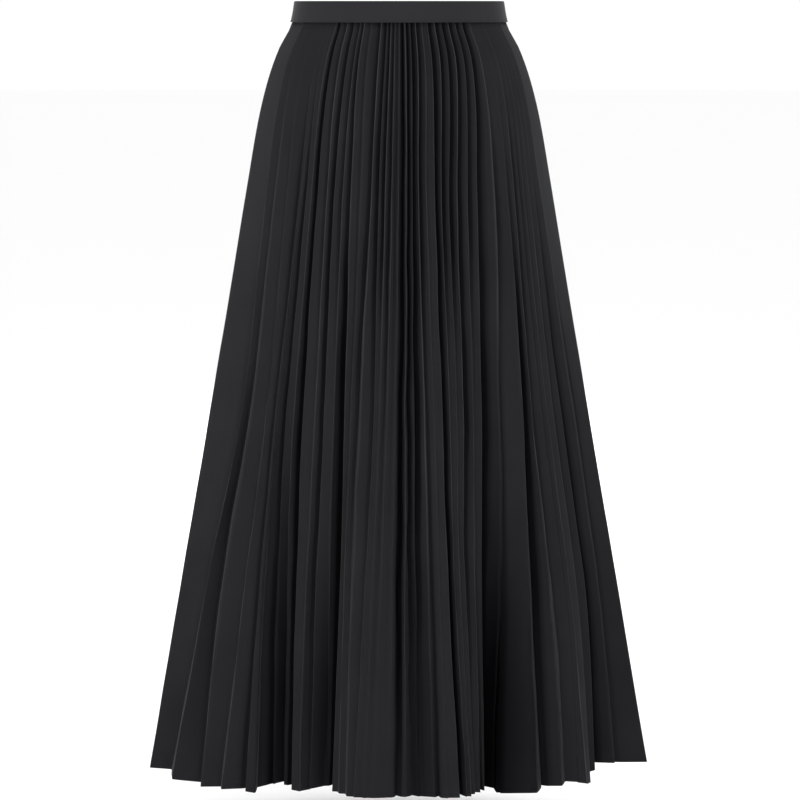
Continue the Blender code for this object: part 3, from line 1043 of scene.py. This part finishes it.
    def grid(self) -> PanelPoints:
        """The points and marks of every row.

        Returns:
            The rows from the band down, each from the panel's first fold to its last.
        """
        numbers = self.column_numbers()
        turn = -1 if self.side is Side.BACK else 1
        points = PanelPoints([], [], [], [])
        for drop in self.drops():
            row = PleatRow(self.form, self.side, self.folds, drop)
            outer = self.wandered(row.corners(self.first, self.last), drop)
            inner = inner_side(outer, self.form.cloth, self.form.sharpest)
            self.squared(outer, inner)
            faces = [self.first + half / 2 + POINT_NUMBERS[2] for half in range(len(outer) - 1)]
            dents = [self.half_dent(face, row, drop) for face in faces]
            slits = [0.0]
            for half in range(1, 2 * (self.last - self.first)):
                slits.append(0.0 if half % 2 else row.slit(self.first + half / 2))
            slits.append(0.0)
            fine = self.softened(outer, slits, dents, 0.0)
            behind = self.softened(inner, slits, dents, 0.7 * self.form.cloth)
            outs, ins, dark = [], [], []
            for number, (x, y), (bx, by) in zip(numbers, fine, behind):
                out = Vector((x / row.half_width**2, y / row.depth**2))
                out.normalize()
                edge = min(1.0, 2 * (number - self.first), 2 * (self.last - number))
                rise = self.crease_rise(number, drop) * edge
                lift = rise + self.hem_lift(drop) * edge
                height = self.form.height(drop) - self.fall(number, drop)
                outs.append(Vector((turn * (x + lift * out.x), turn * (y + lift * out.y), height)))
                ins.append(Vector((turn * (bx + rise * out.x), turn * (by + rise * out.y), height)))
                dark.append(self.painted_shade(number, row, drop, rise))
            points.outer.append(outs)
            points.inner.append(ins)
            points.painted_shades.append(dark)
            # Painted highlight on the crests.
            points.crest_highlights.append([self.crest_highlight(number, row) for number in numbers])
        return points

    def build(self, finish: bpy.types.Material) -> bpy.types.Object:
        """Makes the panel and puts it in its node's place.

        Args:
            finish: the crepe.

        Returns:
            The panel's object.
        """
        points = self.grid()
        drops = self.drops()
        numbers = self.column_numbers()
        widths = self.flat[0] / (self.last - self.first)
        shape = walled_grid(
            len(numbers) - 1,
            len(drops) - 1,
            lambda column, row: points.outer[row][column],
            lambda column, row: points.inner[row][column],
            lambda column, row: ((numbers[column] - self.first) * widths, -drops[row]),
            {
                # Painted highlight on the crests and painted shade in the folds and troughs.
                "crest_highlight": lambda column, row: points.crest_highlights[row][column],
                "painted_shade": lambda column, row: points.painted_shades[row][column],
            },
        )
        panel = shown_piece(self.name, shape, finish)
        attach(panel, "skirt")
        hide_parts(self.node)
        return panel


@dataclass
class Waistband:
    """The narrow plain band, folded over at the top and parted at the centre back."""

    form: SkirtForm
    end: float = 1.2 * MM
    columns: int = 260
    outer_edge: tuple[Point, ...] = (
        (24.2, -0.35), (24.1, -0.75), (23.8, -0.95), (22.8, -0.95), (22.1, -0.85), (21.7, -0.6),
        (21.4, -0.85), (20.6, -0.8), (16.0, -0.45), (11.0, -0.25), (6.0, -0.1), (2.6, 0.0),
        (1.4, 0.05), (0.7, 0.25), (0.25, 0.6), (0.0, 1.05),
    )
    inner_edge: tuple[Point, ...] = (
        (24.0, 1.5), (24.0, 1.9), (23.9, 2.2), (23.4, 2.4), (22.7, 2.4), (22.3, 2.25),
        (22.0, 2.4), (21.2, 2.4), (16.0, 2.4), (11.0, 2.4), (6.0, 2.4), (2.6, 2.4),
        (1.4, 2.35), (0.7, 2.15), (0.25, 1.8), (0.0, 1.35),
    )

    def plan(self, column: int, drop: float, inset: float) -> Vector:
        """A point of the band.

        Args:
            column: which column, from the centre back round by the wearer's right and the front.
            drop: how far below the top edge.
            inset: how far inside the band's outer face.

        Returns:
            The point in the frame.
        """
        half_width = self.form.size("half_width", drop) - inset
        back = self.form.size("back", drop) - inset
        front = self.form.size("front", drop) - inset
        gap = self.end / back
        angle = gap + (2 * pi - 2 * gap) * column / self.columns
        ripple = 0.09 * MM * sin(53 * angle) * sin(7 * angle + 1.3) * min(1.0, drop / (20 * MM))
        depth = back if cos(angle) > 0 else front
        x = -(half_width + ripple) * sin(angle)
        if column in (0, self.columns):
            x = -self.end if column == 0 else self.end
        return Vector((x, (depth + ripple) * cos(angle), self.form.height(drop)))

    def build(self, finish: bpy.types.Material) -> bpy.types.Object:
        """Makes the band and puts it in its node's place.

        Args:
            finish: the crepe.

        Returns:
            The band's object.
        """
        sides = (self.outer_edge, self.inner_edge)
        edge, back = [[(drop * MM, inset * MM) for drop, inset in reversed(side)] for side in sides]
        radii = (self.form.size("half_width", 0.0), self.form.size("back", 0.0))
        circuit = 2 * pi * sqrt(sum(radius**2 for radius in radii) / 2)
        shape = walled_grid(
            self.columns,
            len(edge) - 1,
            lambda column, row: self.plan(column, *edge[row]),
            lambda column, row: self.plan(column, *back[row]),
            lambda column, row: (circuit * column / self.columns, -edge[row][0]),
            {},
        )
        band = shown_piece("waistband_cloth", shape, finish)
        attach(band, "skirt")
        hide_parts("waistband")
        return band


# Zip


def rounded(shape: BMesh, edges: list[bmesh.types.BMEdge], offset: float, segments: int) -> None:
    """Rounds some edges of a shape over with a bevel."""
    sizes = {"offset": offset, "segments": segments, "profile": 0.5}
    bmesh.ops.bevel(shape, geom=edges, affect="EDGES", material=-1, **sizes)


def rod(shape: BMesh, sides: int, radius: float, length: float, place: Matrix) -> None:
    """Adds a capped round bar to a shape, along the Z axis of its place."""
    sizes = {"radius1": radius, "radius2": radius, "depth": length}
    bmesh.ops.create_cone(shape, cap_ends=True, segments=sides, matrix=place, **sizes)


def block(shape: BMesh, size: Sequence[float], centre: Sequence[float]) -> list[bmesh.types.BMVert]:
    """Adds a box to a shape and gives its corners."""
    place = Matrix.Translation(centre) @ Matrix.Diagonal((*size, 1))
    return bmesh.ops.create_cube(shape, size=1.0, matrix=place)["verts"]


@dataclass
class ConcealedZip:
    """The zip in the centre back seam: two tapes, a nylon coil, a slider and its pull tab."""

    form: SkirtForm
    length: float = 180 * MM
    panel_top: float = 24.3 * MM
    tape_top: float = 0.8 * MM
    tape_rows: int = 70
    tape_columns: int = 6
    tape_near: float = 1.6 * MM
    tape_far: float = 9.6 * MM
    tape_thickness: float = 0.6 * MM
    band_thickness: float = 2.4 * MM
    tooth_pitch: float = 1.55 * MM
    tooth_half_width: float = 1.9 * MM
    tooth_radius: float = 0.55 * MM
    slider_size: tuple[float, float, float] = (7 * MM, 3 * MM, 10 * MM)
    slider_top: float = 1.5 * MM
    pull_size: tuple[float, float, float] = (5.2 * MM, 1.0 * MM, 16 * MM)
    pull_window: tuple[float, float] = (2.4 * MM, 2.6 * MM)
    pull_bar: float = 0.6 * MM
    pivot_drop: float = 5.5 * MM
    pivot_stand: float = 1.2 * MM
    eye: float = 1.8 * MM
    bar: float = 1.0 * MM
    slider_taper: float = 0.72
    slider_corner: float = 1.4 * MM
    slider_rim: float = 0.4 * MM
    neck_radius: float = 0.62 * MM
    pull_corner: float = 1.6 * MM
    pull_rim: float = 0.14 * MM

    def cover(self, drop: float, across: float) -> float:
        """How far back from the origin the cloth's inner face lies beside the zip.

        Args:
            drop: how far below the top edge.
            across: how far to the side of the centre back.

        Returns:
            The distance along +Y.
        """
        faces = []
        if drop <= self.panel_top:
            share = across / self.form.size("half_width", drop)
            faces.append(self.form.size("back", drop) * sqrt(1 - share**2) - self.band_thickness)
        if drop >= self.panel_top:
            middle = self.form.middle_fold
            corners = PleatRow(self.form, Side.BACK, BACK_FOLDS, drop).corners(middle - 1, middle + 1)
            seam, crest = (corners[2], corners[1]) if across > 0 else (corners[2], corners[3])
            thickness = self.form.cloth * (-1 if across > 0 else 1)
            inner = inner_side([seam, crest], thickness, self.form.sharpest)
            (sx, sy), (cx, cy) = [(-x, -y) for x, y in inner]
            faces.append(sy + (cy - sy) * (across - sx) / (cx - sx))
        return min(faces)

    def strip(self, name: str, left: float, right: float, finish: bpy.types.Material) -> bpy.types.Object:
        """A zip tape that follows the inner side of the cloth.

        Args:
            name: the piece's name.
            left: the edge with the larger place across.
            right: the other edge.
            finish: the tape's.

        Returns:
            The tape's object.
        """
        rows, columns = self.tape_rows, self.tape_columns
        drops = [self.tape_top + (self.length - self.tape_top) * n / rows for n in range(rows + 1)]

        def place(column: int, row: int, depth: float) -> Vector:
            """A point at a depth inside the cloth's inner face."""
            across = left + (right - left) * column / columns
            y = self.cover(drops[row], across) - self.form.seam - depth
            return Vector((across, y, self.form.height(drops[row])))

        shape = walled_grid(
            columns,
            rows,
            lambda column, row: place(column, row, 0.0),
            lambda column, row: place(column, row, self.tape_thickness),
            lambda column, row: (left + (right - left) * column / columns, -drops[row]),
            {},
        )
        return shown_piece(name, shape, finish)

    def coil(self, finish: bpy.types.Material) -> bpy.types.Object:
        """The closed coil: short round bars one under the other.

        Args:
            finish: the nylon.

        Returns:
            The coil's object.
        """
        shape = bmesh.new()
        top = self.slider_top + self.slider_size[2] + 2 * self.form.seam
        count = int((self.length - top - self.tooth_radius) / self.tooth_pitch)
        depth = self.tape_thickness + 2 * self.form.seam + self.tooth_radius
        for n in range(count + 1):
            drop = top + self.tooth_radius + n * self.tooth_pitch
            y = self.cover(drop, self.tooth_half_width) - depth - 0.15 * MM
            turn = Matrix.Rotation(pi / 2, 4, "Y")
            tilt = Matrix.Rotation(radians(7 if n % 2 else -7), 4, "Y")
            place = Matrix.Translation((0.0, y, self.form.height(drop))) @ tilt @ turn
            rod(shape, 10, self.tooth_radius, 2 * self.tooth_half_width - 0.4 * MM, place)
        return shown_piece("zip_coil", shape, finish)

    def slider(self, finish: bpy.types.Material) -> bpy.types.Object:
        """The slider: a rounded shield behind the tapes, and a bridge with the eye outside.

        Args:
            finish: the lacquer.

        Returns:
            The slider's object.
        """
        wide, deep, tall = self.slider_size
        face = self.cover(self.slider_top, wide / 2) - self.tape_thickness - 2 * self.form.seam
        shape = bmesh.new()
        centre = (0.0, face - deep / 2, self.form.height(self.slider_top + tall / 2))
        low = [vert for vert in block(shape, self.slider_size, centre) if vert.co.z < centre[2]]
        bmesh.ops.scale(shape, vec=(self.slider_taper, 1.0, 1.0), verts=low)
        upright = [edge for edge in shape.edges if abs(edge.verts[0].co.y - edge.verts[1].co.y) > deep / 2]
        rounded(shape, upright, self.slider_corner, 4)
        rim = [edge for edge in shape.edges if edge.calc_face_angle(0.0) > 0.8]
        rounded(shape, rim, self.slider_rim, 3)
        pivot_y, pivot_z = self.pivot()[1:]
        ring_radius = (self.eye + self.bar) / 2
        place = Matrix.Translation((0.0, pivot_y, pivot_z + ring_radius)) @ Matrix.Rotation(pi / 2, 4, "Y")
        radius = self.bar / 2
        circle = bmesh.ops.create_circle(shape, cap_ends=False, segments=12, radius=radius, matrix=place)
        geom = circle["verts"] + list({edge for vert in circle["verts"] for edge in vert.link_edges})
        centre = (0.0, pivot_y, pivot_z)
        bmesh.ops.spin(shape, geom=geom, cent=centre, axis=(1, 0, 0), angle=2 * pi, steps=32, use_merge=True)
        neck_start, neck_end = face - 0.6 * MM, pivot_y - ring_radius
        middle = (0.0, (neck_start + neck_end) / 2, pivot_z)
        neck = Matrix.Translation(middle) @ Matrix.Rotation(pi / 2, 4, "X")
        rod(shape, 12, self.neck_radius, neck_end - neck_start, neck)
        bmesh.ops.recalc_face_normals(shape, faces=shape.faces)
        return shown_piece("zip_slider_metal", shape, finish)

    def pivot(self) -> tuple[float, float, float]:
        """Where the pull tab turns: the middle of the bridge's eye."""
        y = self.form.size("back", self.pivot_drop) + self.pivot_stand
        return (0.0, y, self.form.height(self.pivot_drop))

    def pull(self, finish: bpy.types.Material) -> bpy.types.Object:
        """The pull tab: a flat drop with a window at its top bar and rounded corners and edges.

        Args:
            finish: the lacquer.

        Returns:
            The pull's object.
        """
        wide, thick, tall = self.pull_size
        window_wide, window_tall = self.pull_window
        shape = bmesh.new()
        block(shape, self.pull_size, (0.0, 0.0, self.pull_bar - tall / 2))
        cuts = [((0, 0, z), (0, 0, 1)) for z in (-self.pull_bar, -self.pull_bar - window_tall)]
        cuts += [((x, 0, 0), (1, 0, 0)) for x in (-window_wide / 2, window_wide / 2)]
        for point, normal in cuts:
            geom = shape.verts[:] + shape.edges[:] + shape.faces[:]
            bmesh.ops.bisect_plane(shape, geom=geom, plane_co=point, plane_no=normal)
        middle = -self.pull_bar - window_tall / 2
        panes = []
        for face in shape.faces:
            spot = face.calc_center_median()
            if abs(spot.x) < 0.1 * MM and abs(spot.z - middle) < 0.1 * MM and abs(face.normal.y) > 0.9:
                panes.append(face)
        loops = [edge for pane in panes for edge in pane.edges]
        bmesh.ops.delete(shape, geom=panes, context="FACES_ONLY")
        bmesh.ops.bridge_loops(shape, edges=loops)
        corners = [
            edge
            for edge in shape.edges
            if abs(edge.verts[0].co.y - edge.verts[1].co.y) > thick / 2
            and abs(edge.verts[0].co.x) > wide / 2 - 0.01 * MM
            and edge.verts[0].co.z < -tall / 2
        ]
        rounded(shape, corners, self.pull_corner, 5)
        rim = [edge for edge in shape.edges if edge.is_manifold and edge.calc_face_angle(0.0) > 1.0]
        rounded(shape, rim, self.pull_rim, 2)
        bmesh.ops.translate(shape, vec=self.pivot(), verts=shape.verts)
        bmesh.ops.recalc_face_normals(shape, faces=shape.faces)
        return shown_piece("zip_pull_tab", shape, finish)

    def build(self, tape: bpy.types.Material, nylon: bpy.types.Material, lacquer: bpy.types.Material) -> None:
        """Makes every piece of the zip and puts it in its node's place.

        Args:
            tape: the tapes' finish.
            nylon: the coil's.
            lacquer: the slider's and the pull's.
        """
        left = self.strip("zip_tape_left_cloth", self.tape_far, self.tape_near, tape)
        right = self.strip("zip_tape_right_cloth", -self.tape_near, -self.tape_far, tape)
        pieces = (
            (left, "zip_tape_left", "zip_tape"),
            (right, "zip_tape_right", "zip_tape"),
            (self.coil(nylon), "zip_teeth", "zip_teeth"),
            (self.slider(lacquer), "zip_slider", "zip_metal"),
            (self.pull(lacquer), "zip_pull", "zip_metal"),
        )
        for piece, node, slot in pieces:
            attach(piece, "pull" if node == "zip_pull" else "skirt")
            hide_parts(node)


# Studio


class SoftBox(NamedTuple):
    """A soft box: its name, where it stands, its width and height, and its power in watts."""

    name: str
    place: tuple[float, float, float]
    size: tuple[float, float]
    power: float


LAMPS = (
    SoftBox("front soft box", (-0.5, -6.0, 0.9), (2.4, 2.4), 190),
    SoftBox("left soft box", (-3.4, -1.2, -0.3), (1.6, 1.2), 50),
    SoftBox("right soft box", (3.4, -1.7, 0.9), (1.6, 2.4), 50),
    SoftBox("back soft box", (0.0, 5.0, 1.4), (2.4, 2.0), 120),
)


@dataclass
class Studio:
    """A pale floor, plain soft light and a camera square to the front, as high as the waist."""

    distance: float = 4.75
    lens: float = 185.3
    eye_height: float = 0.012
    aim_height: float = -0.4483
    floor_height: float = -0.95
    sky: float = 1.0
    lamp_aim: float = -0.45

    def floor(self, finish: bpy.types.Material) -> bpy.types.Object:
        """Makes the wide round floor."""
        shape = bmesh.new()
        bmesh.ops.create_circle(shape, cap_ends=True, segments=96, radius=40.0)
        bmesh.ops.translate(shape, vec=(0.0, 0.0, self.floor_height), verts=shape.verts)
        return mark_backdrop(shown_piece("floor", shape, finish))

    def camera(self) -> None:
        """Puts the camera where the skirt is seen from."""
        data = bpy.data.cameras.new("camera")
        data.lens = self.lens
        data.sensor_width = 36.0
        data.clip_end = 200.0
        camera = bpy.data.objects.new("camera", data)
        tilt = atan2(self.eye_height - self.aim_height, self.distance)
        camera.location = (0.001, -self.distance, self.eye_height)
        camera.rotation_euler = (pi / 2 - tilt, 0.0, 0.0)
        bpy.context.scene.collection.objects.link(camera)
        bpy.context.scene.camera = camera

    def lamp(self, box: SoftBox) -> None:
        """Adds a soft box that faces the middle of the skirt.

        Args:
            box: its name, place, size and power.
        """
        data = bpy.data.lights.new(box.name, "AREA")
        data.shape = "RECTANGLE"
        data.size, data.size_y = box.size
        data.energy = box.power
        lamp = bpy.data.objects.new(box.name, data)
        lamp.location = box.place
        aim = Vector((0.0, 0.0, self.lamp_aim)) - Vector(box.place)
        lamp.rotation_euler = aim.to_track_quat("-Z", "Y").to_euler()
        bpy.context.scene.collection.objects.link(lamp)

    def build(self, finish: bpy.types.Material) -> None:
        """Sets up the floor, the light and the camera.

        Args:
            finish: the floor's.
        """
        self.floor(finish)
        self.camera()
        for lamp in LAMPS:
            self.lamp(lamp)
        world = bpy.data.worlds.new("studio")
        world.use_nodes = True
        sky = world.node_tree.nodes["Background"]
        sky.inputs["Color"].default_value = (1.0, 1.0, 1.0, 1.0)
        sky.inputs["Strength"].default_value = self.sky
        bpy.context.scene.world = world
        bpy.context.scene.view_settings.view_transform = "Standard"


def main() -> None:
    """Builds the skirt piece by piece, then its studio."""
    logging.basicConfig(level=logging.INFO, format="%(name)s: %(message)s")
    form = SkirtForm()
    crepe = CrepeFinish().material()
    # A darker copy of the crepe for the band: painted shade, toning down the plain band that faces the lamps
    # squarely.
    band_crepe_painted_shade = CrepeFinish(
        name="black crepe, band, painted shade", ground=(0.0078, 0.0076, 0.0090), lifted=(0.0121, 0.0118, 0.0136)
    ).material()
    Waistband(form).build(band_crepe_painted_shade)
    front = (Side.FRONT, FRONT_FOLDS, FRONT_CREASES)
    back = (Side.BACK, BACK_FOLDS, BACK_CREASES)
    back_cut = ((0.830, 0.877), 0.4425)
    panels = (
        PleatedPanel("skirt_front_cloth", "skirt_front", *front, 0, 38, (1.534, 0.926), 0.885, form),
        PleatedPanel("skirt_back_left_cloth", "skirt_back_left", *back, 0, 19, *back_cut, form),
        PleatedPanel("skirt_back_right_cloth", "skirt_back_right", *back, 19, 38, *back_cut, form),
    )
    for panel in panels:
        panel.build(crepe)
    ConcealedZip(form).build(TapeFinish().material(), NylonFinish().material(), LacquerFinish().material())
    Studio().build(PaperFinish().material())
    both = (("cad", CAD_BOX), ("visual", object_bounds()))
    boxes = {name: [list(corner) for corner in box] for name, box in both}
    for name, box in boxes.items():
        LOG.info("%s box %s", name, [[round(value, 4) for value in corner] for corner in box])


if __name__ == "__main__":
    main()
